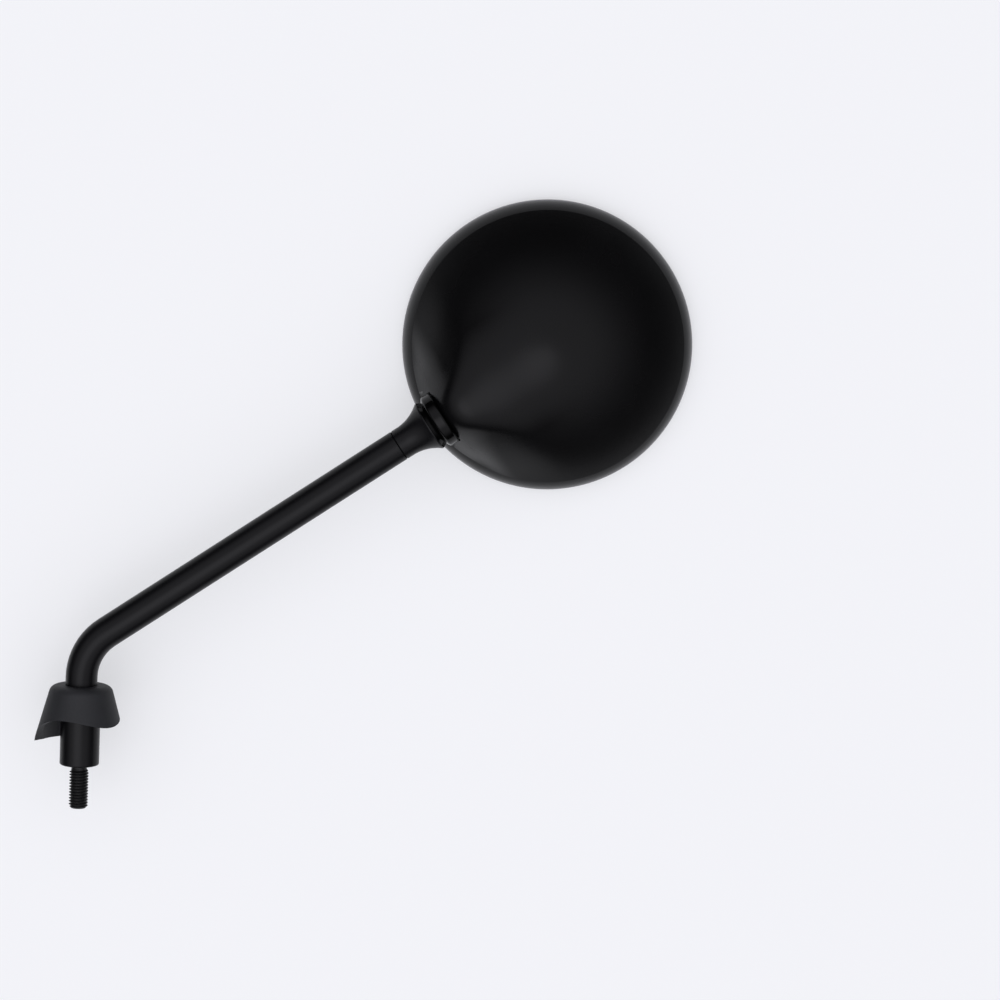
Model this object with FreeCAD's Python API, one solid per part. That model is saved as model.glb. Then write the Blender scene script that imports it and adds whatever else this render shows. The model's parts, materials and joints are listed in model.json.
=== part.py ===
import FreeCAD, Part
import math
import os

# A handlebar mirror: a threaded stud and collar, a bent steel stem, a rubber boot,
# a flared sleeve, a spring-loaded spherical joint and a round convex mirror head.
# Millimetres. The origin is the centre of the collar's seat face, +Z runs up the
# stud's axis, +X points to the head and +Y is the way the glass faces.

# Stud and collar, turned from one bar
STUD_R = 4.0
STUD_LENGTH = 18.5
STUD_CHAMFER = 0.8
COLLAR_R = 8.25
COLLAR_HEIGHT = 29.8
COLLAR_EDGE = 0.8
SOCKET_FLOOR = 8.0

# Bent stem tube
TUBE_R = 6.65
TUBE_WALL = 1.65
STEM_RISE_DEG = 35.0
CORNER_Z = 49.4
BEND_R = 23.5
STEM_LENGTH = 157.4

# Rubber boot with a saddle cut for a handlebar housing
BOOT_TOP_R = 12.6
BOOT_TOP_WALL = 4.0
BOOT_TAPER = 0.275
BOOT_WALL = 2.2
BOOT_SHOULDER = 3.6
BOOT_LOW_Z = 9.0
SADDLE_R = 25.6
SADDLE_CROWN_Z = 20.9
SADDLE_OFFSET = 5.0
SADDLE_TURN_DEG = 53.13

# Flared sleeve, which turns on the pin that carries the joint
SLEEVE_LENGTH = 15.3
SLEEVE_CHAMFER = 0.5
FLARE_START = 3.0
FLARE_R = 10.85
FLARE_LIP = 0.5
SPIGOT_DEPTH = 13.0
PIN_R = 3.0
PIN_END = 1.5

# Spherical joint: sleeve, liner, ring and pressure cup share one centre, the pivot
BALL_R = 20.1
BALL_GAP = 0.15
LINER_WALL = 1.8
LINER_EDGE_DEG = 29.5
LINER_HOLE_DEG = 22.0
RING_WIDTH = 5.0
RING_LAND_R = 11.85
RING_ROUND = 1.2
RING_BORE_R = 8.4
INNER_BALL_R = 12.2
NECK_HOLE_DEG = 30.0
CUP_EDGE_DEG = 46.0

# Disc springs, washer and lock nut on the pin
SPRING_COUNT = 4
SPRING_R = 6.0
SPRING_WALL = 0.7
SPRING_HEIGHT = 1.2
WASHER_R = 6.0
WASHER_WALL = 1.2
NUT_FLATS = 10.0
NUT_HEIGHT = 6.0
NUT_COLLAR_R = 4.8
INSERT_R = 4.2
INSERT_HEIGHT = 1.4

# Head shell, seen from its own centre, with its height above the stem's axis
PIVOT_INSET = 17.7
DOME_R = 57.2
DOME_BELOW_HORN = 0.2
DOME_EDGE_DROP = 31.5
DOME_POWER = 2.2
SHELL_WALL = 2.3
HORN_R = 15.3
HORN_SLOPE_DEG = 63.0
HORN_FAN = 31.0
HORN_FAN_LENGTH = 28.0
HORN_FALL_START = 5.5
HORN_FALL = 0.000105
HORN_FALL_POWER = 3
BLEND = 2.0
RIM_LAND = 0.05
RIM_WIDTH = 4.2
RIM_DEPTH = 13.2
RIM_FRONT_EDGE = 1.0
NECK_R = 18.2
SWING_DEG = 44.5
SURFACE_STEPS = 41
SURFACE_FIT = 0.05

# Glass and what holds it
LEDGE_WIDTH = 2.9
PLATE_DEPTH = 8.0
PLATE_WALL = 2.0
PAD_EDGE = 0.8
GLASS_WALL = 3.0
GLASS_CURVE_R = 1200.0
GASKET_WALL = 1.3
GASKET_LIP = 1.5
GASKET_LIP_WALL = 1.2

# Screws that hold the backing plate
SCREW_COUNT = 3
SCREW_CIRCLE_R = 45.0
SCREW_R = 1.5
SCREW_HEAD_R = 3.1
SCREW_LENGTH = 10.0
BOSS_WALL = 2.4

# Clearances
FIT_GAP = 0.02
RUN_GAP = 0.05
PART_GAP = 0.05

# Places along the stem's upper run, counted from the corner of its centre line
LINER_R = BALL_R + BALL_GAP + LINER_WALL
SOCKET_R = LINER_R + BALL_GAP
FLARE_AT = STEM_LENGTH + SLEEVE_LENGTH
PIVOT_AT = FLARE_AT + math.sqrt(SOCKET_R ** 2 - FLARE_R ** 2)
SPIGOT_R = TUBE_R - TUBE_WALL - FIT_GAP
SLEEVE_BORE_R = SPIGOT_R + RUN_GAP

# Places in the joint, counted from the pivot
RING_EDGE_R = RING_LAND_R - RING_ROUND
RING_EDGE_AT = -math.sqrt((BALL_R - RING_ROUND) ** 2 - RING_EDGE_R ** 2)
RING_BACK = RING_EDGE_AT - RING_ROUND + RING_WIDTH
RING_SEAT = RING_BACK + PART_GAP
PIN_STEP = -math.sqrt(SOCKET_R ** 2 - SLEEVE_BORE_R ** 2) - BALL_GAP
CUP_R = INNER_BALL_R - BALL_GAP
HEAD_OFFSET = DOME_R - PIVOT_INSET

# Heights in the head, above the stem's axis
DOME_TOP = HORN_R - DOME_BELOW_HORN
DOME_EDGE = DOME_TOP - DOME_EDGE_DROP
RIM_R = DOME_R + RIM_WIDTH
RIM_FRONT = DOME_EDGE - RIM_DEPTH
PLATE_SEAT = RIM_FRONT + PLATE_DEPTH
PLATE_FRONT = PLATE_SEAT - PLATE_WALL
CAVITY_R = DOME_R - LEDGE_WIDTH - PART_GAP
RECESS_R = DOME_R - PART_GAP
GLASS_R = RECESS_R - GASKET_WALL - 2 * PART_GAP
GLASS_BACK_R = GLASS_CURVE_R - GLASS_WALL
GLASS_CENTRE = PLATE_FRONT - PAD_EDGE + math.sqrt(GLASS_BACK_R ** 2 - GLASS_R ** 2)
GLASS_FRONT = GLASS_CENTRE - GLASS_CURVE_R

ORIGIN = FreeCAD.Vector(0, 0, 0)
X_AXIS = FreeCAD.Vector(1, 0, 0)
Y_AXIS = FreeCAD.Vector(0, 1, 0)
Z_AXIS = FreeCAD.Vector(0, 0, 1)
RISE = math.radians(STEM_RISE_DEG)
STEM_AXIS = FreeCAD.Vector(math.cos(RISE), 0, math.sin(RISE))
CORNER = FreeCAD.Vector(0, 0, CORNER_Z)


def point(x, y, z=0.0):
    return FreeCAD.Vector(x, y, z)


def line(start, end):
    return Part.LineSegment(start, end).toShape()


def arc(start, middle, end):
    return Part.Arc(start, middle, end).toShape()


def polygon_face(corners):
    return Part.Face(Part.makePolygon(corners + corners[:1]))


def turned(edges_or_corners, axis):
    """A solid turned about an axis through the origin, from edges or from corner points."""
    if isinstance(edges_or_corners[0], FreeCAD.Vector):
        face = polygon_face(edges_or_corners)
    else:
        face = Part.Face(Part.Wire(edges_or_corners))
    return face.revolve(ORIGIN, axis, 360)


def on_sphere(radius, angle_deg):
    """A point on a sphere about the pivot, at an angle from the way back down the stem."""
    angle = math.radians(angle_deg)
    return point(-radius * math.cos(angle), radius * math.sin(angle))


def sphere_arc(radius, first_deg, last_deg):
    middle_deg = (first_deg + last_deg) / 2
    return arc(on_sphere(radius, first_deg), on_sphere(radius, middle_deg), on_sphere(radius, last_deg))


def angle_at(radius, height):
    return math.degrees(math.asin(height / radius))


def at_pivot(shape):
    """Carry a piece from the joint's own frame (X up the stem, Z out of the shell's back)."""
    turn = FreeCAD.Rotation(Y_AXIS, -STEM_RISE_DEG).multiply(FreeCAD.Rotation(X_AXIS, 90))
    place = FreeCAD.Placement(CORNER + STEM_AXIS * PIVOT_AT, turn)
    return shape.transformed(place.toMatrix(), True)


def base_collar():
    edge = COLLAR_EDGE * (1 - math.sqrt(0.5))
    tip = -STUD_LENGTH
    outline = [
        line(point(0, 0, tip), point(STUD_R - STUD_CHAMFER, 0, tip)),
        line(point(STUD_R - STUD_CHAMFER, 0, tip), point(STUD_R, 0, tip + STUD_CHAMFER)),
        line(point(STUD_R, 0, tip + STUD_CHAMFER), point(STUD_R, 0, 0)),
        line(point(STUD_R, 0, 0), point(COLLAR_R - COLLAR_EDGE, 0, 0)),
        arc(
            point(COLLAR_R - COLLAR_EDGE, 0, 0),
            point(COLLAR_R - edge, 0, edge),
            point(COLLAR_R, 0, COLLAR_EDGE),
        ),
        line(point(COLLAR_R, 0, COLLAR_EDGE), point(COLLAR_R, 0, COLLAR_HEIGHT)),
        line(point(COLLAR_R, 0, COLLAR_HEIGHT), point(0, 0, COLLAR_HEIGHT)),
        line(point(0, 0, COLLAR_HEIGHT), point(0, 0, tip)),
    ]
    socket_depth = COLLAR_HEIGHT - SOCKET_FLOOR
    socket = Part.makeCylinder(TUBE_R + FIT_GAP, socket_depth, point(0, 0, SOCKET_FLOOR))
    return turned(outline, Z_AXIS).cut(socket)


def stem_tube():
    turn = math.pi / 2 - RISE
    tangent = BEND_R * math.tan(turn / 2)
    bend_start = CORNER - Z_AXIS * tangent
    bend_end = CORNER + STEM_AXIS * tangent
    bend_centre = bend_start + X_AXIS * BEND_R
    halfway = point(-math.cos(turn / 2), 0, math.sin(turn / 2))
    foot = point(0, 0, SOCKET_FLOOR)
    path = Part.Wire([
        line(foot, bend_start),
        arc(bend_start, bend_centre + halfway * BEND_R, bend_end),
        line(bend_end, CORNER + STEM_AXIS * STEM_LENGTH),
    ])
    outside = Part.Wire(Part.makeCircle(TUBE_R, foot, Z_AXIS))
    inside = Part.Wire(Part.makeCircle(TUBE_R - TUBE_WALL, foot, Z_AXIS))
    return path.makePipeShell([outside], True, False).cut(path.makePipeShell([inside], True, False))


def rubber_boot():
    top = COLLAR_HEIGHT + BOOT_TOP_WALL
    low_r = BOOT_TOP_R + BOOT_TAPER * (top - BOOT_LOW_Z)
    ceiling_r = BOOT_TOP_R + BOOT_TAPER * BOOT_TOP_WALL - BOOT_WALL
    outside = Part.makeCone(low_r, BOOT_TOP_R, top - BOOT_LOW_Z, point(0, 0, BOOT_LOW_Z))
    top_edge = [edge for edge in outside.Edges if abs(edge.CenterOfMass.z - top) < FIT_GAP]
    outside = outside.makeFillet(BOOT_SHOULDER, top_edge)
    skirt_depth = COLLAR_HEIGHT - BOOT_LOW_Z
    hollow = Part.makeCone(low_r - BOOT_WALL, ceiling_r, skirt_depth, point(0, 0, BOOT_LOW_Z))
    bore = Part.makeCylinder(TUBE_R + RUN_GAP, top, ORIGIN)
    along = math.radians(SADDLE_TURN_DEG)
    saddle_axis = point(math.cos(along), math.sin(along))
    across = point(-math.sin(along), math.cos(along))
    saddle_foot = across * -SADDLE_OFFSET - saddle_axis * top + Z_AXIS * (SADDLE_CROWN_Z - SADDLE_R)
    saddle = Part.makeCylinder(SADDLE_R, 2 * top, saddle_foot, saddle_axis)
    return outside.cut(hollow).cut(bore).cut(saddle)


def trumpet_sleeve():
    back = STEM_LENGTH + RUN_GAP - PIVOT_AT
    flare = back + FLARE_START
    rim = FLARE_AT - PIVOT_AT
    run = SLEEVE_LENGTH - FLARE_START - FLARE_LIP
    rise = FLARE_R - TUBE_R
    curve = (run ** 2 + rise ** 2) / (2 * rise)
    half = math.asin(run / curve) / 2
    middle = point(flare + curve * math.sin(half), TUBE_R + curve * (1 - math.cos(half)))
    lip = point(rim - FLARE_LIP, FLARE_R)
    socket_rim_deg = angle_at(SOCKET_R, FLARE_R)
    socket_hole_deg = angle_at(SOCKET_R, SLEEVE_BORE_R)
    outline = [
        line(point(back, SLEEVE_BORE_R), point(back, TUBE_R - SLEEVE_CHAMFER)),
        line(point(back, TUBE_R - SLEEVE_CHAMFER), point(back + SLEEVE_CHAMFER, TUBE_R)),
        line(point(back + SLEEVE_CHAMFER, TUBE_R), point(flare, TUBE_R)),
        arc(point(flare, TUBE_R), middle, lip),
        line(lip, on_sphere(SOCKET_R, socket_rim_deg)),
        sphere_arc(SOCKET_R, socket_rim_deg, socket_hole_deg),
        line(on_sphere(SOCKET_R, socket_hole_deg), point(back, SLEEVE_BORE_R)),
    ]
    return at_pivot(turned(outline, X_AXIS))


def stack_places():
    """Where the pressure cup's back, the springs, the washer and the nut start on the pin."""
    cup_back = -CUP_R * math.cos(math.radians(CUP_EDGE_DEG))
    washer = cup_back + SPRING_COUNT * SPRING_HEIGHT
    nut = washer + WASHER_WALL
    return cup_back, washer, nut


def pivot_pin():
    back = STEM_LENGTH - SPIGOT_DEPTH - PIVOT_AT
    end = stack_places()[2] + NUT_HEIGHT + PIN_END
    chamfer = PIN_R / 4
    return at_pivot(turned([
        point(back, 0),
        point(back, SPIGOT_R),
        point(PIN_STEP, SPIGOT_R),
        point(PIN_STEP, PIN_R),
        point(end - chamfer, PIN_R),
        point(end, PIN_R - chamfer),
        point(end, 0),
    ], X_AXIS))


def swivel_ring():
    """A ring with a rounded land, whose front edge runs smoothly into the ball face."""
    bore_deg = angle_at(BALL_R, RING_BORE_R)
    edge_deg = angle_at(BALL_R - RING_ROUND, RING_EDGE_R)
    edge_centre = point(RING_EDGE_AT, RING_EDGE_R)
    edge_middle = edge_centre + on_sphere(RING_ROUND, (edge_deg + 90) / 2)
    bulge = RING_ROUND * (1 - math.sqrt(0.5))
    outline = [
        sphere_arc(BALL_R, bore_deg, edge_deg),
        arc(on_sphere(BALL_R, edge_deg), edge_middle, point(RING_EDGE_AT, RING_LAND_R)),
        line(point(RING_EDGE_AT, RING_LAND_R), point(RING_BACK - RING_ROUND, RING_LAND_R)),
        arc(
            point(RING_BACK - RING_ROUND, RING_LAND_R),
            point(RING_BACK - bulge, RING_LAND_R - bulge),
            point(RING_BACK, RING_EDGE_R),
        ),
        line(point(RING_BACK, RING_EDGE_R), point(RING_BACK, RING_BORE_R)),
        line(point(RING_BACK, RING_BORE_R), on_sphere(BALL_R, bore_deg)),
    ]
    return at_pivot(turned(outline, X_AXIS))


def seat_liner():
    inner_r = LINER_R - LINER_WALL
    outline = [
        sphere_arc(inner_r, LINER_HOLE_DEG, LINER_EDGE_DEG),
        line(on_sphere(inner_r, LINER_EDGE_DEG), on_sphere(LINER_R, LINER_EDGE_DEG)),
        sphere_arc(LINER_R, LINER_EDGE_DEG, LINER_HOLE_DEG),
        line(on_sphere(LINER_R, LINER_HOLE_DEG), on_sphere(inner_r, LINER_HOLE_DEG)),
    ]
    return at_pivot(turned(outline, X_AXIS))


def pressure_cup():
    bore = PIN_R + FIT_GAP
    bore_deg = angle_at(CUP_R, bore)
    cup_back = stack_places()[0]
    edge = on_sphere(CUP_R, CUP_EDGE_DEG)
    outline = [
        sphere_arc(CUP_R, bore_deg, CUP_EDGE_DEG),
        line(edge, point(cup_back, bore)),
        line(point(cup_back, bore), on_sphere(CUP_R, bore_deg)),
    ]
    return at_pivot(turned(outline, X_AXIS))


def disc_springs():
    cup_back = stack_places()[0]
    bore = PIN_R + RUN_GAP
    rise = SPRING_HEIGHT - SPRING_WALL
    discs = []
    for index in range(SPRING_COUNT):
        start = cup_back + index * SPRING_HEIGHT
        inner = start + rise * (index % 2)
        outer = start + rise * (1 - index % 2)
        discs.append(turned([
            point(inner, bore),
            point(outer, SPRING_R),
            point(outer + SPRING_WALL, SPRING_R),
            point(inner + SPRING_WALL, bore),
        ], X_AXIS))
    return at_pivot(Part.makeCompound(discs))


def ring_on_pin(start, length, inner_r, outer_r):
    return turned([
        point(start, inner_r),
        point(start, outer_r),
        point(start + length, outer_r),
        point(start + length, inner_r),
    ], X_AXIS)


def flat_washer():
    return at_pivot(ring_on_pin(stack_places()[1], WASHER_WALL, PIN_R + RUN_GAP, WASHER_R))


def lock_nut():
    start = stack_places()[2]
    hex_height = NUT_HEIGHT - INSERT_HEIGHT
    corner_r = NUT_FLATS / math.sqrt(3)
    corners = []
    for index in range(6):
        angle = math.radians(60 * index)
        corners.append(point(start, corner_r * math.cos(angle), corner_r * math.sin(angle)))
    hexagon = polygon_face(corners).extrude(X_AXIS * hex_height)
    collar = ring_on_pin(start, NUT_HEIGHT, PIN_R + FIT_GAP, NUT_COLLAR_R)
    bore = Part.makeCylinder(PIN_R + FIT_GAP, NUT_HEIGHT, point(start, 0), X_AXIS)
    pocket = Part.makeCylinder(INSERT_R, INSERT_HEIGHT, point(start + hex_height, 0), X_AXIS)
    return at_pivot(hexagon.fuse(collar).cut(bore).cut(pocket))


def nut_insert():
    start = stack_places()[2] + NUT_HEIGHT - INSERT_HEIGHT
    return at_pivot(ring_on_pin(start, INSERT_HEIGHT, PIN_R + FIT_GAP, INSERT_R - FIT_GAP))


def smooth_larger(first, second):
    larger = max(first, second)
    return larger + BLEND * math.log(math.exp((first - larger) / BLEND) + math.exp((second - larger) / BLEND))


def horn_drop(distance):
    """How far the horn falls away from its spine: a round crown, then a straight flank."""
    slope = math.radians(HORN_SLOPE_DEG)
    crown = HORN_R * math.sin(slope)
    if distance < crown:
        return HORN_R - math.sqrt(HORN_R ** 2 - distance ** 2)
    return HORN_R * (1 - math.cos(slope)) + (distance - crown) * math.tan(slope)


def back_height(x, y):
    """Height of the shell's back: a dome with a horn that runs out to the pivot and widens inwards."""
    reach = math.hypot(x - HEAD_OFFSET, y)
    dome = DOME_TOP - DOME_EDGE_DROP * (reach / DOME_R) ** DOME_POWER
    share = min(max(x / HORN_FAN_LENGTH, 0.0), 1.0)
    fan = HORN_R + (HORN_FAN - HORN_R) * share ** 2 * (3 - 2 * share)
    from_spine = math.hypot(min(x, 0.0), y) * HORN_R / fan
    spine = HORN_R - HORN_FALL * max(x - HORN_FALL_START, 0.0) ** HORN_FALL_POWER
    return smooth_larger(dome, spine - horn_drop(from_spine))


def inner_height(x, y):
    """The same surface, one wall thickness further in, measured square to the surface."""
    step = SHELL_WALL / 10
    slope_x = (back_height(x + step, y) - back_height(x - step, y)) / (2 * step)
    slope_y = (back_height(x, y + step) - back_height(x, y - step)) / (2 * step)
    return back_height(x, y) - SHELL_WALL * math.sqrt(1 + slope_x ** 2 + slope_y ** 2)


def space_above(height):
    """Everything over a height surface that covers the whole head."""
    span = 2 * RIM_R + 2 * SHELL_WALL
    rows = []
    for row in range(SURFACE_STEPS):
        x = HEAD_OFFSET + span * (row / (SURFACE_STEPS - 1) - 0.5)
        ys = [span * (column / (SURFACE_STEPS - 1) - 0.5) for column in range(SURFACE_STEPS)]
        rows.append([point(x, y, height(x, y)) for y in ys])
    surface = Part.BSplineSurface()
    surface.approximate(Points=rows, DegMin=3, DegMax=6, Continuity=2, Tolerance=SURFACE_FIT)
    return surface.toShape().extrude(Z_AXIS * span)


def disc_at_head(radius, low, high):
    return Part.makeCylinder(radius, high - low, point(HEAD_OFFSET, 0, low))


def turned_at_head(outline):
    solid = turned(outline, Z_AXIS)
    solid.translate(point(HEAD_OFFSET, 0))
    return solid


def head_rim():
    """The rolled edge that carries the dome's slope on, round to the glass side."""
    slope = math.atan(DOME_EDGE_DROP * DOME_POWER / DOME_R)
    roll_r = RIM_WIDTH / (1 - math.sin(slope))
    wall_top = point(RIM_R, 0, DOME_EDGE - roll_r * math.cos(slope))
    lean = math.pi / 4 - slope / 2
    roll_middle = wall_top + point(math.cos(lean) - 1, 0, math.sin(lean)) * roll_r
    edge = RIM_FRONT_EDGE
    inset = edge * (1 - math.sqrt(0.5))
    outline = [
        line(point(0, 0, RIM_FRONT), point(RIM_R - edge, 0, RIM_FRONT)),
        arc(
            point(RIM_R - edge, 0, RIM_FRONT),
            point(RIM_R - inset, 0, RIM_FRONT + inset),
            point(RIM_R, 0, RIM_FRONT + edge),
        ),
        line(point(RIM_R, 0, RIM_FRONT + edge), wall_top),
        arc(wall_top, roll_middle, point(DOME_R, 0, DOME_EDGE)),
        line(point(DOME_R, 0, DOME_EDGE), point(0, 0, DOME_EDGE)),
        line(point(0, 0, DOME_EDGE), point(0, 0, RIM_FRONT)),
    ]
    return turned_at_head(outline)


def screw_places():
    places = []
    for index in range(SCREW_COUNT):
        angle = 2 * math.pi * index / SCREW_COUNT
        x = HEAD_OFFSET + SCREW_CIRCLE_R * math.cos(angle)
        places.append(point(x, SCREW_CIRCLE_R * math.sin(angle)))
    return places


def neck_cylinder(radius, end):
    """Everything near the stem's axis, from a place in the neck outwards to the sleeve."""
    return Part.makeCylinder(radius, HEAD_OFFSET, point(end, 0), X_AXIS * -1)


def head_shell():
    body = disc_at_head(DOME_R - RIM_LAND, RIM_FRONT, 2 * HORN_R)
    body = body.cut(space_above(back_height)).fuse(head_rim())
    swing_r = HEAD_OFFSET * math.tan(math.radians(SWING_DEG))
    swing = Part.makeCone(0, swing_r, HEAD_OFFSET, ORIGIN, X_AXIS * -1).cut(Part.makeSphere(BALL_R))
    pocket = neck_cylinder(RING_LAND_R + BALL_GAP, RING_SEAT)
    body = body.cut(swing).cut(pocket)

    cavity = disc_at_head(CAVITY_R, RIM_FRONT, 2 * HORN_R).cut(space_above(inner_height))
    cavity = cavity.cut(neck_cylinder(NECK_R, RING_SEAT + SHELL_WALL))
    cavity = cavity.fuse(Part.makeSphere(INNER_BALL_R))
    for place in screw_places():
        foot = place + Z_AXIS * PLATE_SEAT
        cavity = cavity.cut(Part.makeCylinder(SCREW_R + BOSS_WALL, 2 * HORN_R, foot))
    recess = disc_at_head(RECESS_R, RIM_FRONT, PLATE_SEAT)
    hole_reach = SHELL_WALL - RING_BACK
    hole_r = hole_reach * math.tan(math.radians(NECK_HOLE_DEG))
    hole = Part.makeCone(0, hole_r, hole_reach, ORIGIN, X_AXIS * -1)
    shell = body.cut(cavity).cut(recess).cut(hole)
    for place in screw_places():
        shell = shell.cut(Part.makeCylinder(SCREW_R + FIT_GAP, SCREW_LENGTH, place + Z_AXIS * PLATE_SEAT))
    return at_pivot(shell)


def glass_sphere(radius):
    """The sphere that one face of the convex glass lies on, far behind the head."""
    return Part.makeSphere(radius, point(HEAD_OFFSET, 0, GLASS_CENTRE))


def backing_plate():
    plate = disc_at_head(RECESS_R - PART_GAP, PLATE_FRONT, PLATE_SEAT)
    for place in screw_places():
        sink = Part.makeCone(
            SCREW_HEAD_R + PART_GAP, SCREW_R + PART_GAP, PLATE_WALL, place + Z_AXIS * PLATE_FRONT
        )
        plate = plate.cut(sink)
    return at_pivot(plate)


def plate_screws():
    screws = []
    for place in screw_places():
        head = Part.makeCone(SCREW_HEAD_R, SCREW_R, PLATE_WALL, place + Z_AXIS * PLATE_FRONT)
        shank = Part.makeCylinder(SCREW_R, SCREW_LENGTH - PART_GAP, place + Z_AXIS * PLATE_SEAT)
        screws.append(head.fuse(shank).removeSplitter())
    return at_pivot(Part.makeCompound(screws))


def glass_pad():
    disc = disc_at_head(GLASS_R, GLASS_FRONT, PLATE_FRONT)
    return at_pivot(disc.common(glass_sphere(GLASS_BACK_R)))


def mirror_glass():
    disc = disc_at_head(GLASS_R, GLASS_FRONT - GLASS_WALL, PLATE_FRONT)
    return at_pivot(disc.common(glass_sphere(GLASS_CURVE_R)).cut(glass_sphere(GLASS_BACK_R)))


def glass_gasket():
    inner_r = GLASS_R + PART_GAP
    outer_r = inner_r + GASKET_WALL
    lip_r = inner_r - GASKET_LIP
    lip_back = GLASS_CENTRE - math.sqrt(GLASS_CURVE_R ** 2 - lip_r ** 2) - PART_GAP
    front = lip_back - GASKET_LIP_WALL
    return at_pivot(turned_at_head([
        point(inner_r, 0, PLATE_FRONT),
        point(outer_r, 0, PLATE_FRONT),
        point(outer_r, 0, front),
        point(lip_r, 0, front),
        point(lip_r, 0, lip_back),
        point(inner_r, 0, lip_back),
    ]))


PIECES = {
    "base_collar": base_collar,
    "stem_tube": stem_tube,
    "rubber_boot": rubber_boot,
    "trumpet_sleeve": trumpet_sleeve,
    "pivot_pin": pivot_pin,
    "swivel_ring": swivel_ring,
    "seat_liner": seat_liner,
    "pressure_cup": pressure_cup,
    "disc_springs": disc_springs,
    "flat_washer": flat_washer,
    "lock_nut": lock_nut,
    "nut_insert": nut_insert,
    "head_shell": head_shell,
    "backing_plate": backing_plate,
    "plate_screws": plate_screws,
    "glass_pad": glass_pad,
    "mirror_glass": mirror_glass,
    "glass_gasket": glass_gasket,
}

os.makedirs("parts", exist_ok=True)
for name, build in PIECES.items():
    shape = build()
    shape.exportStep("parts/" + name + ".step")
    print(name, shape.isValid(), len(shape.Solids), round(shape.Volume, 1))
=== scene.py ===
# %% [markdown]
# # A round handlebar mirror, seen from behind
# The solids come from the CAD model, in metres and in place. This lesson gives each of them the finish
# of the real one, fills out the shell, cuts the thread that the solids leave plain, and sets up the
# camera and the light.
# The origin is the seat under the collar, Z runs up the stud and the glass faces +Y.

# %% Load the frame
import json
import math

import bmesh
import bpy
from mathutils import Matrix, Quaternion, Vector


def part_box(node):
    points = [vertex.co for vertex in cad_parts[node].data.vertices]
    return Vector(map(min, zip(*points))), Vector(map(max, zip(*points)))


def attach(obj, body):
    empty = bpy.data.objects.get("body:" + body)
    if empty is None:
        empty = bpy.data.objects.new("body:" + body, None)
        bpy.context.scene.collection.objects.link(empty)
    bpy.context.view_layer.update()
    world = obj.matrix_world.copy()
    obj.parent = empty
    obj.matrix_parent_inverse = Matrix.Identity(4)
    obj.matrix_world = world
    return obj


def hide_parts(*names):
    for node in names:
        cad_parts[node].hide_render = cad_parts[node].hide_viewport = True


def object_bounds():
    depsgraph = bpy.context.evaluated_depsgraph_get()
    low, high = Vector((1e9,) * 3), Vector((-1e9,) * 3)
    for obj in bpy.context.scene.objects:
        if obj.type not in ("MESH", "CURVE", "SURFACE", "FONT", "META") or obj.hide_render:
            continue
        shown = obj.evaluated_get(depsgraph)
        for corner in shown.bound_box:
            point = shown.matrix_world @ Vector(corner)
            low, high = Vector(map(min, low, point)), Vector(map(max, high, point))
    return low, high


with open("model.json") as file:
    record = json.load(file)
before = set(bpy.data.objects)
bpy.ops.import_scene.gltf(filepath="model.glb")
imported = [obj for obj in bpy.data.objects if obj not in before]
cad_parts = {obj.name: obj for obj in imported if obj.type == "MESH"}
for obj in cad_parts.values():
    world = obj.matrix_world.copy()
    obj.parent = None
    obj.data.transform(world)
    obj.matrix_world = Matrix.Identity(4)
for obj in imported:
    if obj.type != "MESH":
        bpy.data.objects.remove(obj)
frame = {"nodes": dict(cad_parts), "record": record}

cad_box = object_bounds()
MM = 0.001

# %% [markdown]
# ## Four small helpers
# Colours are written the way a paint shop names them, as sRGB hex, and Blender mixes light in linear
# values, so one function turns one into the other. A second adds a shader node with its settings and
# links in a single call, which keeps each finish readable from top to bottom. The third opens a new
# finish and hands back its main shader, and the fourth turns the width of a texture's spots into a scale.

# %% Helpers for the finishes
def linear(hex_colour):
    channels = [int(hex_colour[i:i + 2], 16) / 255 for i in (1, 3, 5)]
    toned = [c / 12.92 if c <= 0.04045 else ((c + 0.055) / 1.055) ** 2.4 for c in channels]
    return (*toned, 1.0)


def add_node(tree, kind, settings=None, links=None):
    """One shader node. Settings are properties or input values, links are inputs fed by outputs."""
    made = tree.nodes.new("ShaderNode" + kind)
    for name, value in (settings or {}).items():
        if isinstance(name, str) and hasattr(made, name):
            setattr(made, name, value)
        else:
            made.inputs[name].default_value = value
    for name, output in (links or {}).items():
        tree.links.new(output, made.inputs[name])
    return made


def new_finish(name, values):
    """A material with one Principled shader, its constant sockets set, and the object's own coordinates."""
    material = bpy.data.materials.new(name)
    material.use_nodes = True
    tree = material.node_tree
    shader = tree.nodes["Principled BSDF"]
    for socket, value in values.items():
        shader.inputs[socket].default_value = value
    place = add_node(tree, "TexCoord").outputs["Object"]
    return material, tree, shader, place


def per_metre(size_mm):
    """The texture scale whose spots are about this wide."""
    return 1000 / size_mm


print("black paint in linear light:", [round(c, 4) for c in linear("#0d0d0e")])

# %% [markdown]
# ## Powder-coated steel
# The stem, the collar and the flared sleeve are steel with a baked black powder coat. The powder melts
# and flows, which leaves a satin skin with a faint orange peel: soft dimples about a millimetre wide.
# An image would give one fixed scale, so the dimples are a noise bump, and a second, broad noise lets
# the gloss drift a little from place to place, as handled paint does.

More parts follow.
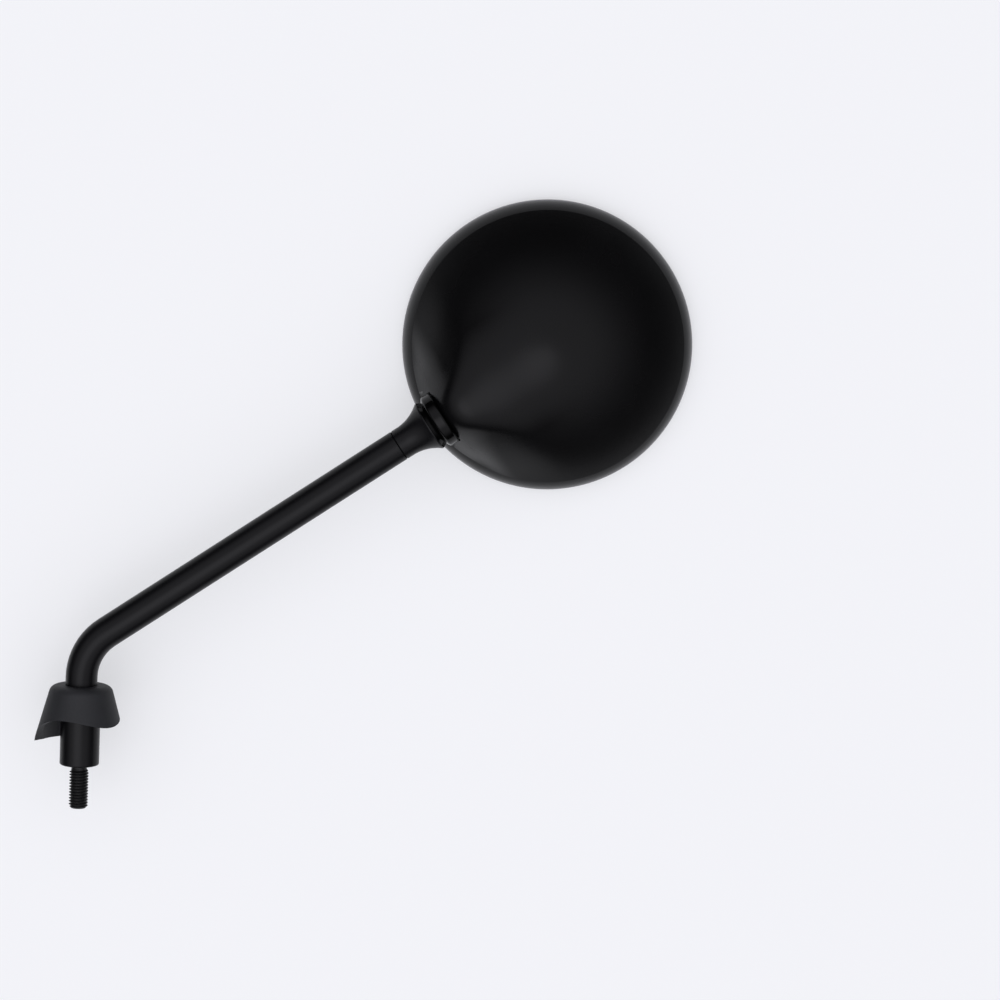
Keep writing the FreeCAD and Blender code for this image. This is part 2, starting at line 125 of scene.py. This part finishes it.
# %% Powder coat
powder_coat, tree, shader, place = new_finish(
    "powder_coated_steel", {"IOR": 1.45, "Specular IOR Level": 0.18}
)
peel = add_node(tree, "TexNoise", {"Scale": per_metre(0.9), "Detail": 2.0}, {"Vector": place})
drift = add_node(tree, "TexNoise", {"Scale": per_metre(18), "Detail": 3.0}, {"Vector": place})
gloss = add_node(tree, "MapRange", {"To Min": 0.27, "To Max": 0.35}, {"Value": drift.outputs["Fac"]})
tone = add_node(tree, "ValToRGB", links={"Fac": drift.outputs["Fac"]})
tone.color_ramp.elements[0].color = linear("#060607")
tone.color_ramp.elements[1].color = linear("#0b0b0d")
dimple = add_node(
    tree, "Bump", {"Strength": 0.12, "Distance": 0.03 * MM}, {"Height": peel.outputs["Fac"]}
)
tree.links.new(tone.outputs["Color"], shader.inputs["Base Color"])
tree.links.new(gloss.outputs["Result"], shader.inputs["Roughness"])
tree.links.new(dimple.outputs["Normal"], shader.inputs["Normal"])
print("finish:", powder_coat.name)

# %% [markdown]
# ## Moulded ABS
# The head's shell and its backing plate are injection-moulded ABS, black right through. The steel mould
# is spark-eroded, so the plastic copies a very fine grain that spreads each reflection into a soft
# glow. The real grain is near 0.1 mm, finer than a pixel here, so it is drawn at 0.5 mm.

# %% Moulded plastic
moulded_abs, tree, shader, place = new_finish("moulded_abs", {"IOR": 1.5, "Specular IOR Level": 0.15})
grain = add_node(tree, "TexNoise", {"Scale": per_metre(0.5), "Detail": 3.0}, {"Vector": place})
flow = add_node(tree, "TexNoise", {"Scale": per_metre(30), "Detail": 2.0}, {"Vector": place})
gloss = add_node(tree, "MapRange", {"To Min": 0.24, "To Max": 0.3}, {"Value": flow.outputs["Fac"]})
tone = add_node(tree, "ValToRGB", links={"Fac": flow.outputs["Fac"]})
tone.color_ramp.elements[0].color = linear("#040404")
tone.color_ramp.elements[1].color = linear("#080809")
pits = add_node(
    tree, "Bump", {"Strength": 0.1, "Distance": 0.02 * MM}, {"Height": grain.outputs["Fac"]}
)
tree.links.new(tone.outputs["Color"], shader.inputs["Base Color"])
tree.links.new(gloss.outputs["Result"], shader.inputs["Roughness"])
tree.links.new(pits.outputs["Normal"], shader.inputs["Normal"])
print("finish:", moulded_abs.name)

# %% [markdown]
# ## Moulded rubber
# The boot and the gasket round the glass are carbon-filled rubber. Rubber is greyer than the paint,
# because its matt skin scatters the light and a little bloom and dust stays in the pores. The pores are
# a fine noise bump, and the dust is a broad noise that lifts the colour in patches.

# %% Rubber
boot_rubber, tree, shader, place = new_finish("moulded_rubber", {"IOR": 1.5, "Specular IOR Level": 0.35})
pores = add_node(tree, "TexNoise", {"Scale": per_metre(0.6), "Detail": 4.0}, {"Vector": place})
dust = add_node(tree, "TexNoise", {"Scale": per_metre(9), "Detail": 4.0}, {"Vector": place})
tone = add_node(tree, "ValToRGB", links={"Fac": dust.outputs["Fac"]})
tone.color_ramp.elements[0].color = linear("#17181a")
tone.color_ramp.elements[1].color = linear("#222326")
gloss = add_node(tree, "MapRange", {"To Min": 0.55, "To Max": 0.7}, {"Value": pores.outputs["Fac"]})
skin = add_node(
    tree, "Bump", {"Strength": 0.15, "Distance": 0.04 * MM}, {"Height": pores.outputs["Fac"]}
)
tree.links.new(tone.outputs["Color"], shader.inputs["Base Color"])
tree.links.new(gloss.outputs["Result"], shader.inputs["Roughness"])
tree.links.new(skin.outputs["Normal"], shader.inputs["Normal"])
print("finish:", boot_rubber.name)

# %% [markdown]
# ## Polished acetal
# The swivel ring and the thin liner between it and the sleeve are acetal from a polished mould: the one
# glossy black on the mirror, which shows the light as a crisp streak. A low roughness does that, and a
# faint noise in it stands for the wiping marks that keep it from looking like wet glass.

# %% Gloss ring
gloss_acetal, tree, shader, place = new_finish(
    "polished_acetal", {"IOR": 1.48, "Specular IOR Level": 0.16, "Base Color": linear("#020202")}
)
wipes = add_node(tree, "TexNoise", {"Scale": per_metre(3), "Detail": 4.0}, {"Vector": place})
gloss = add_node(tree, "MapRange", {"To Min": 0.1, "To Max": 0.2}, {"Value": wipes.outputs["Fac"]})
tree.links.new(gloss.outputs["Result"], shader.inputs["Roughness"])
print("finish:", gloss_acetal.name)

# %% [markdown]
# ## Blacked steel
# The thread isn't painted, or it wouldn't screw in. It has a black oxide, a thin oil-soaked layer that
# drinks nearly all the light, so the stud is the darkest part of the mirror. A fine noise breaks up
# the little gloss that the oil gives.

# %% Blacked thread
blacked_steel, tree, shader, place = new_finish("blacked_steel", {"IOR": 1.5, "Specular IOR Level": 0.3})
scale = add_node(tree, "TexNoise", {"Scale": per_metre(0.7), "Detail": 3.0}, {"Vector": place})
tone = add_node(tree, "ValToRGB", links={"Fac": scale.outputs["Fac"]})
tone.color_ramp.elements[0].color = linear("#050506")
tone.color_ramp.elements[1].color = linear("#0a0a0b")
gloss = add_node(tree, "MapRange", {"To Min": 0.42, "To Max": 0.6}, {"Value": scale.outputs["Fac"]})
tree.links.new(tone.outputs["Color"], shader.inputs["Base Color"])
tree.links.new(gloss.outputs["Result"], shader.inputs["Roughness"])
print("finish:", blacked_steel.name)

# %% [markdown]
# ## Zinc-plated steel
# The pin, springs, washer, nut, cup and screws inside are bright zinc-plated, as bought fasteners are.
# It is a metal, so its colour is its reflection, and the plating's fine crystals are a noise in the
# roughness about half a millimetre wide.

# %% Plated fasteners
plated_steel, tree, shader, place = new_finish("zinc_plated_steel", {"Metallic": 1.0})
crystals = add_node(tree, "TexNoise", {"Scale": per_metre(0.5), "Detail": 3.0}, {"Vector": place})
tone = add_node(tree, "ValToRGB", links={"Fac": crystals.outputs["Fac"]})
tone.color_ramp.elements[0].color = linear("#a3a7aa")
tone.color_ramp.elements[1].color = linear("#c2c5c8")
gloss = add_node(tree, "MapRange", {"To Min": 0.25, "To Max": 0.4}, {"Value": crystals.outputs["Fac"]})
tree.links.new(tone.outputs["Color"], shader.inputs["Base Color"])
tree.links.new(gloss.outputs["Result"], shader.inputs["Roughness"])
print("finish:", plated_steel.name)

# %% [markdown]
# ## Silvered glass
# A mirror is clear glass with silver on its back, so nearly all one sees is the silver's reflection,
# a touch cooler than pure white. A metal with almost no roughness gives that at once, where a real
# pane over a metal sheet would cost the renderer two more bounces for the same look. A broad, faint
# noise in the roughness is the film that a cloth leaves.

# %% Mirror
silvered_glass, tree, shader, place = new_finish(
    "silvered_glass", {"Metallic": 1.0, "Base Color": linear("#dfe5e6"), "Coat Weight": 0.3}
)
film = add_node(tree, "TexNoise", {"Scale": per_metre(25), "Detail": 4.0}, {"Vector": place})
gloss = add_node(tree, "MapRange", {"To Min": 0.005, "To Max": 0.04}, {"Value": film.outputs["Fac"]})
tree.links.new(gloss.outputs["Result"], shader.inputs["Roughness"])
print("finish:", silvered_glass.name)

# %% [markdown]
# ## Nylon and foam
# Two small pieces are left: the white nylon ring that grips the pin in the lock nut, and the black foam
# that bonds the glass to its plate. Nylon is milky, so a little light goes through it. Foam is full of
# cells near a millimetre across, which a cell texture gives as dents, with painted shade darkening the
# colour towards the middle of each dent.

# %% Nylon insert
nylon, tree, shader, place = new_finish("nylon", {"Subsurface Weight": 0.2, "Subsurface Scale": 0.5 * MM})
cloud = add_node(tree, "TexNoise", {"Scale": per_metre(2), "Detail": 2.0}, {"Vector": place})
tone = add_node(tree, "ValToRGB", links={"Fac": cloud.outputs["Fac"]})
tone.color_ramp.elements[0].color = linear("#d9d6ca")
tone.color_ramp.elements[1].color = linear("#e8e6dd")
gloss = add_node(tree, "MapRange", {"To Min": 0.4, "To Max": 0.5}, {"Value": cloud.outputs["Fac"]})
tree.links.new(tone.outputs["Color"], shader.inputs["Base Color"])
tree.links.new(gloss.outputs["Result"], shader.inputs["Roughness"])
print("finish:", nylon.name)

# %% Foam pad
foam, tree, shader, place = new_finish("closed_cell_foam", {"Roughness": 0.9})
cells = add_node(tree, "TexVoronoi", {"Scale": per_metre(0.9)}, {"Vector": place})
# Painted shade: the colour darkens towards each cell's middle, where the dent is deepest.
tone = add_node(tree, "ValToRGB", links={"Fac": cells.outputs["Distance"]})
tone.color_ramp.elements[0].color = linear("#1b1b1b")
tone.color_ramp.elements[1].color = linear("#323232")
dents = add_node(
    tree, "Bump", {"Strength": 0.5, "Distance": 0.2 * MM}, {"Height": cells.outputs["Distance"]}
)
tree.links.new(tone.outputs["Color"], shader.inputs["Base Color"])
tree.links.new(dents.outputs["Normal"], shader.inputs["Normal"])
print("finish:", foam.name)

# %% [markdown]
# ## Dressing the solids
# Nearly all the solids have the right shapes, so each only swaps its plain stand-in finish for the real
# one. A dictionary from finish to piece names reads like a parts list. The collar isn't on it, because
# it is made anew below.

# %% Give every solid its finish
DRESSED = {
    powder_coat: ["stem_tube", "trumpet_sleeve"],
    boot_rubber: ["rubber_boot", "glass_gasket"],
    gloss_acetal: ["swivel_ring", "seat_liner"],
    moulded_abs: ["head_shell", "backing_plate"],
    silvered_glass: ["mirror_glass"],
    foam: ["glass_pad"],
    nylon: ["nut_insert"],
    plated_steel: ["pivot_pin", "pressure_cup", "disc_springs", "flat_washer", "lock_nut", "plate_screws"],
}
for finish, names in DRESSED.items():
    for name in names:
        slots = frame["nodes"][name].data.materials
        slots.clear()
        slots.append(finish)
    print(finish.name, "on", ", ".join(names))

# %% [markdown]
# ## The shell's full flanks
# Beside the neck the real shell runs from the crown of its horn to the rim in one full sweep, where the
# solid has a shallow valley, and its dome falls to the rim more evenly. A sculpted copy of the solid's
# mesh has both: each point of the back moves by a height that depends only on its place, so the wall
# moves as one. A new surface would need its own neck, bosses and rim, and sculpting by hand couldn't be
# repeated. The same formula gives the normals, which keeps the reflections smooth.

# %% The back's shape, in millimetres over the stem's axis
# The solid's own sizes come first, and those of the full back follow.
HEAD_R = 57.2
HEAD_OFFSET = 39.5
DOME_TOP = 15.1
DOME_DROP = 31.5
DOME_POWER = 2.2
CROWN_R = 15.3
FLANK_DEG = 63
FAN_R = 31
FAN_LENGTH = 28
FALL_START = 5.5
FALL = 0.000105
FALL_POWER = 3
SOFTNESS = 2.0

FULL_DOME_POWER = 1.8
FULL_FLANK_DEG = 38
FULL_FLANK_RUN = (-17, 0)
FULL_CROWN_R = 42
FULL_CROWN_RUN = (-10, 17)
FULL_EDGE_DIP = 6.5
FULL_EDGE_START = 36
FULL_EDGE_SIDE = (5, 18)


def share_of(value, low, high):
    return min(max((value - low) / (high - low), 0), 1)


def ease(value, low, high):
    """From 0 to 1 with level ends."""
    share = share_of(value, low, high)
    return share * share * (3 - 2 * share)


def gentle(value, low, high):
    """As ease, with no jump in the curvature at its ends."""
    share = share_of(value, low, high)
    return share ** 3 * (share * (6 * share - 15) + 10)


def falling(distance, crown_r, flank_deg):
    """How far a round crown with straight flanks has fallen at a distance from its spine."""
    flank = math.radians(flank_deg)
    crown = crown_r * math.sin(flank)
    if distance < crown:
        return crown_r - math.sqrt(crown_r ** 2 - distance ** 2)
    return crown_r * (1 - math.cos(flank)) + (distance - crown) * math.tan(flank)


def soft_larger(first, second):
    """The larger of two heights, with a rounded valley where they meet."""
    return max(first, second) + SOFTNESS * math.log1p(math.exp(-abs(first - second) / SOFTNESS))


def solid_and_full(x, y):
    """The height of the solid's back and of the full one."""
    reach = math.hypot(x - HEAD_OFFSET, y)
    dome = DOME_TOP - DOME_DROP * (reach / HEAD_R) ** DOME_POWER
    spine = CROWN_R - FALL * max(x - FALL_START, 0) ** FALL_POWER
    beside = math.hypot(min(x, 0), y)
    fan = CROWN_R + (FAN_R - CROWN_R) * ease(x, 0, FAN_LENGTH)
    solid = soft_larger(dome, spine - falling(beside * CROWN_R / fan, CROWN_R, FLANK_DEG))
    full_dome = DOME_TOP - DOME_DROP * (reach / HEAD_R) ** FULL_DOME_POWER
    crown_r = CROWN_R + (FULL_CROWN_R - CROWN_R) * ease(x, *FULL_CROWN_RUN)
    to_full = gentle(x, *FULL_FLANK_RUN)
    flank = FLANK_DEG + (FULL_FLANK_DEG - FLANK_DEG) * to_full
    full_horn = spine - falling(beside, crown_r, flank)
    toward_edge = max(reach - FULL_EDGE_START, 0) / (HEAD_R - FULL_EDGE_START)
    full_horn -= FULL_EDGE_DIP * toward_edge ** 2 * to_full * gentle(abs(y), *FULL_EDGE_SIDE)
    return solid, soft_larger(full_dome, full_horn)


print("fill beside the horn:", [round(b - a, 2) for a, b in (solid_and_full(0, y) for y in (10, 19, 28))])

# %% Where a point lies on the head
joints = {joint["name"]: joint for joint in frame["record"]["behaviour"]["joints"]}
pivot = Vector(joints["head_turn"]["pos_m"])
along = Vector(joints["head_roll"]["axis"])
across = Vector(joints["head_tilt"]["axis"])
outward = Vector(joints["head_turn"]["axis"])
ON_BACK = 0.2


def on_head(place):
    """Millimetres along the stem, across it and out of the back, counted from the pivot."""
    offset = (place - pivot) / MM
    return offset.dot(along), offset.dot(across), offset.dot(outward)


def on_back(place):
    x, y, z = on_head(place)
    return math.hypot(x - HEAD_OFFSET, y) < HEAD_R and abs(z - solid_and_full(x, y)[0]) < ON_BACK


print("pivot in mm:", [round(value / MM, 2) for value in pivot])

# %% Refine the part of the back that is filled
# The solid's triangles are large where it is straight, so those near the horn are halved until they are
# small. Each corner keeps its normal in a layer of its own, which the halving carries along.
FILL_ALONG = (-12, 34)
FILL_ACROSS = (-52, 52)
LONGEST_EDGE = 1.4 * MM
HALVINGS = 3

shell_mesh = frame["nodes"]["head_shell"].data.copy()
shell_mesh.name = "full_shell"
solid_normals = [corner.vector.copy() for corner in shell_mesh.corner_normals]
clay = bmesh.new()
clay.from_mesh(shell_mesh)
kept_normal = clay.loops.layers.float_vector.new("kept_normal")
for face, polygon in zip(clay.faces, shell_mesh.polygons):
    for loop, index in zip(face.loops, polygon.loop_indices):
        loop[kept_normal] = solid_normals[index]
for halving in range(HALVINGS):
    long_edges = []
    for edge in clay.edges:
        x, y, _ = on_head((edge.verts[0].co + edge.verts[1].co) / 2)
        inside = FILL_ALONG[0] < x < FILL_ALONG[1] and FILL_ACROSS[0] < y < FILL_ACROSS[1]
        if inside and edge.calc_length() > LONGEST_EDGE and all(on_back(vert.co) for vert in edge.verts):
            long_edges.append(edge)
    bmesh.ops.subdivide_edges(clay, edges=long_edges, cuts=1)
    bmesh.ops.triangulate(clay, faces=[face for face in clay.faces if len(face.verts) > 3])
print("triangles in the shell:", len(clay.faces))

# %% Sculpt it
BACK_DEPTH = 6.5
STEP = 0.1
FACES_OUT = 0.1

back_normal = {}
for vert in clay.verts:
    x, y, z = on_head(vert.co)
    solid, full = solid_and_full(x, y)
    if math.hypot(x - HEAD_OFFSET, y) > HEAD_R or z < solid - BACK_DEPTH:
        continue
    vert.co += outward * (full - solid) * MM
    if abs(z - solid) < ON_BACK:
        slope_x = (solid_and_full(x + STEP, y)[1] - solid_and_full(x - STEP, y)[1]) / (2 * STEP)
        slope_y = (solid_and_full(x, y + STEP)[1] - solid_and_full(x, y - STEP)[1]) / (2 * STEP)
        back_normal[vert] = (outward - along * slope_x - across * slope_y).normalized()
clay.normal_update()
normals = []
for face in clay.faces:
    is_back = face.normal.dot(outward) > FACES_OUT and all(vert in back_normal for vert in face.verts)
    for loop in face.loops:
        normals.append(back_normal[loop.vert] if is_back else Vector(loop[kept_normal]))
clay.loops.layers.float_vector.remove(kept_normal)
clay.to_mesh(shell_mesh)
clay.free()
shell_mesh.normals_split_custom_set(normals)
full_shell = bpy.data.objects.new("full_shell", shell_mesh)
bpy.context.scene.collection.objects.link(full_shell)
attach(full_shell, "head")
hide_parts("head_shell")
print("points on the back:", len(back_normal), "of", len(shell_mesh.vertices))

# %% [markdown]
# ## The collar and its thread
# The stud screws into the handlebar clamp: M8 with a pitch of 1.25 mm, cut by a die that stops at a
# narrow relief groove under the collar. The solid has a plain stud at the thread's outside diameter. A
# bump map would leave the silhouette smooth, and the teeth show exactly there, so the thread is real
# geometry. The Screw modifier could wind it, but its two ends stay open and square. Here one lathe
# makes the whole bar instead: rings of points up the axis, whose radius also depends on the angle
# where the thread winds. The teeth then fade out into the groove and die away on the tip's bevel.

# %% Sizes of the turned bar
PITCH = 1.25 * MM
TOOTH_DEPTH = 0.613 * PITCH
RINGS_PER_PITCH = 14
SPOKES = 96
GROOVE_LENGTH = 1.9 * MM
RUN_OUT = 1.0 * MM
EDGE_ROUND = 0.8 * MM
EDGE_STEPS = 8
TIP_BEVEL = 1.0 * MM
SHARP_DEG = 50

stud_mount = next(mount for mount in frame["record"]["mounts"] if mount["name"] == "stud")
STUD_R = stud_mount["dims"]["r_mm"] * MM
ROOT_R = STUD_R - TOOTH_DEPTH
bar_low, bar_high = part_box("base_collar")
COLLAR_R = bar_high.x
TUBE_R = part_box("stem_tube")[1].y
SOCKET_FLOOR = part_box("stem_tube")[0].z
print("stud", round(STUD_R / MM, 2), "root", round(ROOT_R / MM, 2), "collar", round(COLLAR_R / MM, 2))


# %% Radius of the thread
def thread_radius(z, angle):
    """A 60 degree tooth with a flat crest an eighth and a flat root a quarter of the pitch wide."""
    turns = (z / PITCH - angle / math.tau) % 1
    from_crest = min(turns, 1 - turns)
    depth = min(max((from_crest - 1 / 16) / (5 / 16), 0), 1)
    fade = min(max((z + GROOVE_LENGTH + RUN_OUT) / RUN_OUT, 0), 1)
    cut = STUD_R - TOOTH_DEPTH * max(depth, fade)
    bevel = STUD_R - TIP_BEVEL + (z - bar_low.z)
    return min(cut, bevel)


thread_turns = (-GROOVE_LENGTH - bar_low.z) / PITCH
print("thread turns:", round(thread_turns, 1))


# %% Turn the bar
def ring_of(mesh, z, radius_at):
    corners = []
    for spoke in range(SPOKES):
        angle = math.tau * spoke / SPOKES
        radius = radius_at(z, angle)
        corners.append(mesh.verts.new((radius * math.cos(angle), radius * math.sin(angle), z)))
    return corners


def plain(radius):
    return lambda z, angle: radius


turned_bar = bmesh.new()
thread_rings = int(thread_turns * RINGS_PER_PITCH)
rings = []
for step in range(thread_rings + 1):
    z = bar_low.z + (-GROOVE_LENGTH - bar_low.z) * step / thread_rings
    rings.append(ring_of(turned_bar, z, thread_radius))
rings.append(ring_of(turned_bar, -EDGE_ROUND / 4, plain(ROOT_R)))
rings.append(ring_of(turned_bar, 0, plain(ROOT_R + EDGE_ROUND / 4)))
first_collar_ring = len(rings) - 1
for step in range(EDGE_STEPS + 1):
    swing = math.radians(90 * step / EDGE_STEPS)
    radius = COLLAR_R - EDGE_ROUND * (1 - math.sin(swing))
    rings.append(ring_of(turned_bar, EDGE_ROUND * (1 - math.cos(swing)), plain(radius)))
for z, radius in ((bar_high.z, COLLAR_R), (bar_high.z, TUBE_R), (SOCKET_FLOOR, TUBE_R)):
    rings.append(ring_of(turned_bar, z, plain(radius)))
print("rings:", len(rings))


# %% Skin it, close both ends and put it in place of the plain one
for row, (lower, upper) in enumerate(zip(rings, rings[1:])):
    for spoke in range(SPOKES):
        beside = (spoke + 1) % SPOKES
        face = turned_bar.faces.new((lower[spoke], lower[beside], upper[beside], upper[spoke]))
        face.material_index = 0 if row >= first_collar_ring else 1
turned_bar.faces.new(rings[0][::-1]).material_index = 1
turned_bar.faces.new(rings[-1])
bar_mesh = bpy.data.meshes.new("threaded_collar")
turned_bar.to_mesh(bar_mesh)
turned_bar.free()
bar_mesh.materials.append(powder_coat)
bar_mesh.materials.append(blacked_steel)
bar_mesh.shade_smooth()
bar_mesh.set_sharp_from_angle(angle=math.radians(SHARP_DEG))
threaded_collar = bpy.data.objects.new("threaded_collar", bar_mesh)
bpy.context.scene.collection.objects.link(threaded_collar)
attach(threaded_collar, "stem")
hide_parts("base_collar")
print("threaded collar faces:", len(bar_mesh.polygons))

# %% [markdown]
# ## The pale floor
# The mirror lies on its rim, glass down, so the floor is a plane just in front of the rim, square to Y.
# Its far side is clear, and so is the little gap under the glass, so that a view of the glass isn't
# blocked by the floor that it lies on. Everywhere else it is a matt sheet that takes the soft shadow.
# A pale sheet under bright light keeps its shadows faint, so what the eye and the reflections see of it
# is half its shaded colour and half a plain glow of the same tone.

# %% Floor
FLOOR_GAP = 0.1 * MM
FLOOR_SIZE = 0.54
FLOOR_CENTRE = Vector((172, 0, 119)) * MM
FLOOR_CORNERS = ((-0.5, -0.5), (0.5, -0.5), (0.5, 0.5), (-0.5, 0.5))
CLEAR_REACH = 8 * MM
GLOW_SHARE = 0.5

floor_y = cad_box[1].y + FLOOR_GAP
floor_mesh = bpy.data.meshes.new("floor")
floor_corners = [
    (FLOOR_CENTRE.x + right * FLOOR_SIZE, floor_y, FLOOR_CENTRE.z + up * FLOOR_SIZE)
    for right, up in FLOOR_CORNERS
]
floor_mesh.from_pydata(floor_corners, [], [(0, 1, 2, 3)])
floor = bpy.data.objects.new("floor", floor_mesh)
bpy.context.scene.collection.objects.link(floor)

pale_sheet, tree, shader, place = new_finish(
    "pale_sheet", {"Base Color": linear("#f3f4f5"), "Roughness": 0.8, "Specular IOR Level": 0.2}
)
side = add_node(tree, "NewGeometry")
path = add_node(tree, "LightPath")
near = add_node(tree, "Math", {"operation": "LESS_THAN", 1: CLEAR_REACH}, {0: path.outputs["Ray Length"]})
clear = add_node(
    tree, "Math", {"operation": "MAXIMUM"}, {0: side.outputs["Backfacing"], 1: near.outputs["Value"]}
)
straight = add_node(
    tree,
    "Math",
    {"operation": "MAXIMUM"},
    {0: path.outputs["Is Camera Ray"], 1: path.outputs["Is Glossy Ray"]},
)
seen = add_node(
    tree,
    "Math",
    {"operation": "MAXIMUM"},
    {0: straight.outputs["Value"], 1: path.outputs["Is Transmission Ray"]},
)
share = add_node(tree, "Math", {"operation": "MULTIPLY", 1: GLOW_SHARE}, {0: seen.outputs["Value"]})
glow = add_node(tree, "Emission", {"Color": linear("#f3f4f6"), "Strength": 1.0})
sheet = add_node(
    tree,
    "MixShader",
    links={0: share.outputs["Value"], 1: shader.outputs["BSDF"], 2: glow.outputs["Emission"]},
)
nothing = add_node(tree, "BsdfTransparent")
mix = add_node(
    tree,
    "MixShader",
    links={0: clear.outputs["Value"], 1: sheet.outputs["Shader"], 2: nothing.outputs["BSDF"]},
)
tree.links.new(mix.outputs["Shader"], tree.nodes["Material Output"].inputs["Surface"])
floor_mesh.materials.append(pale_sheet)
print("floor at y =", round(floor_y / MM, 2), "mm, faces", floor_mesh.polygons[0].normal[:])

# %% [markdown]
# ## The camera
# It looks down at the back of the mirror from a good arm's length, nearly square to the floor, and
# leans by a couple of degrees. A long lens keeps the round head round. The camera is aimed at a point
# and then rolled, because its place, its aim and its roll can then be tuned one at a time.

# %% Camera
CAMERA_PLACE = Vector((149.3, -1291.7, 263.5)) * MM
CAMERA_TARGET = Vector((171.92, 0.0, 118.6)) * MM
CAMERA_ROLL_DEG = 2.38
CAMERA_LENS_MM = 112.34
CAMERA_SENSOR_MM = 36.0
CAMERA_CLIP = (0.05, 20.0)

camera_data = bpy.data.cameras.new("camera")
camera_data.lens = CAMERA_LENS_MM
camera_data.sensor_width = CAMERA_SENSOR_MM
camera_data.clip_start, camera_data.clip_end = CAMERA_CLIP
camera = bpy.data.objects.new("camera", camera_data)
camera.location = CAMERA_PLACE
camera.rotation_mode = "QUATERNION"
aim = (CAMERA_TARGET - CAMERA_PLACE).to_track_quat("-Z", "Y")
camera.rotation_quaternion = aim @ Quaternion((0, 0, 1), math.radians(CAMERA_ROLL_DEG))
bpy.context.scene.collection.objects.link(camera)
bpy.context.scene.camera = camera
print("camera", round((CAMERA_TARGET - CAMERA_PLACE).length, 3), "m away")

# %% [markdown]
# ## The light
# Black satin shows little but reflections, so its look is decided by what it mirrors: a broad soft tent
# above the mirror with a brighter middle, dim sides and the pale floor. The tent is the world itself,
# bright round one direction and fading towards its edge, because a world has no distance and lights
# every piece alike. The side that the glass faces gets an even sky, for views from there.

# %% World
TENT_AXIS = Vector((0.0, -1.0, -0.06)).normalized()
TENT_BRIGHT = 1.08
TENT_INNER_DEG = 40
TENT_OUTER_DEG = 80
CORE_AXIS = Vector((-0.13, -1.0, -0.28)).normalized()
CORE_BRIGHT = 1.4
CORE_INNER_DEG = 6
CORE_OUTER_DEG = 30
SIDE_BRIGHT = 0.05
SKY_BRIGHT = 0.8
SKY_INNER_DEG = 60
SKY_OUTER_DEG = 87

world = bpy.data.worlds.new("light_tent")
bpy.context.scene.world = world
world.use_nodes = True
tree = world.node_tree
heading = add_node(tree, "TexCoord").outputs["Generated"]
toward_tent = add_node(tree, "VectorMath", {"operation": "DOT_PRODUCT", 1: TENT_AXIS}, {0: heading})
toward_core = add_node(tree, "VectorMath", {"operation": "DOT_PRODUCT", 1: CORE_AXIS}, {0: heading})
toward_glass = add_node(tree, "SeparateXYZ", links={"Vector": heading}).outputs["Y"]
glows = [
    (toward_tent.outputs["Value"], TENT_OUTER_DEG, TENT_INNER_DEG, TENT_BRIGHT),
    (toward_core.outputs["Value"], CORE_OUTER_DEG, CORE_INNER_DEG, CORE_BRIGHT),
    (toward_glass, SKY_OUTER_DEG, SKY_INNER_DEG, SKY_BRIGHT),
]
level = None
for direction, outer_deg, inner_deg, bright in glows:
    glow = add_node(
        tree,
        "MapRange",
        {
            "interpolation_type": "SMOOTHSTEP",
            "From Min": math.cos(math.radians(outer_deg)),
            "From Max": math.cos(math.radians(inner_deg)),
            "To Max": bright,
        },
        {"Value": direction},
    )
    total = add_node(tree, "Math", {"operation": "ADD", 1: SIDE_BRIGHT}, {0: glow.outputs["Result"]})
    if level:
        tree.links.new(level.outputs["Value"], total.inputs[1])
    level = total
backdrop = tree.nodes["Background"]
backdrop.inputs["Color"].default_value = linear("#f9f8ff")
tree.links.new(level.outputs["Value"], backdrop.inputs["Strength"])
print("tent axis", [round(value, 2) for value in TENT_AXIS])

# %% [markdown]
# ## The colour view
# Colours are shown as they are, with no film curve.

# %% Finish
bpy.context.scene.view_settings.view_transform = "Standard"
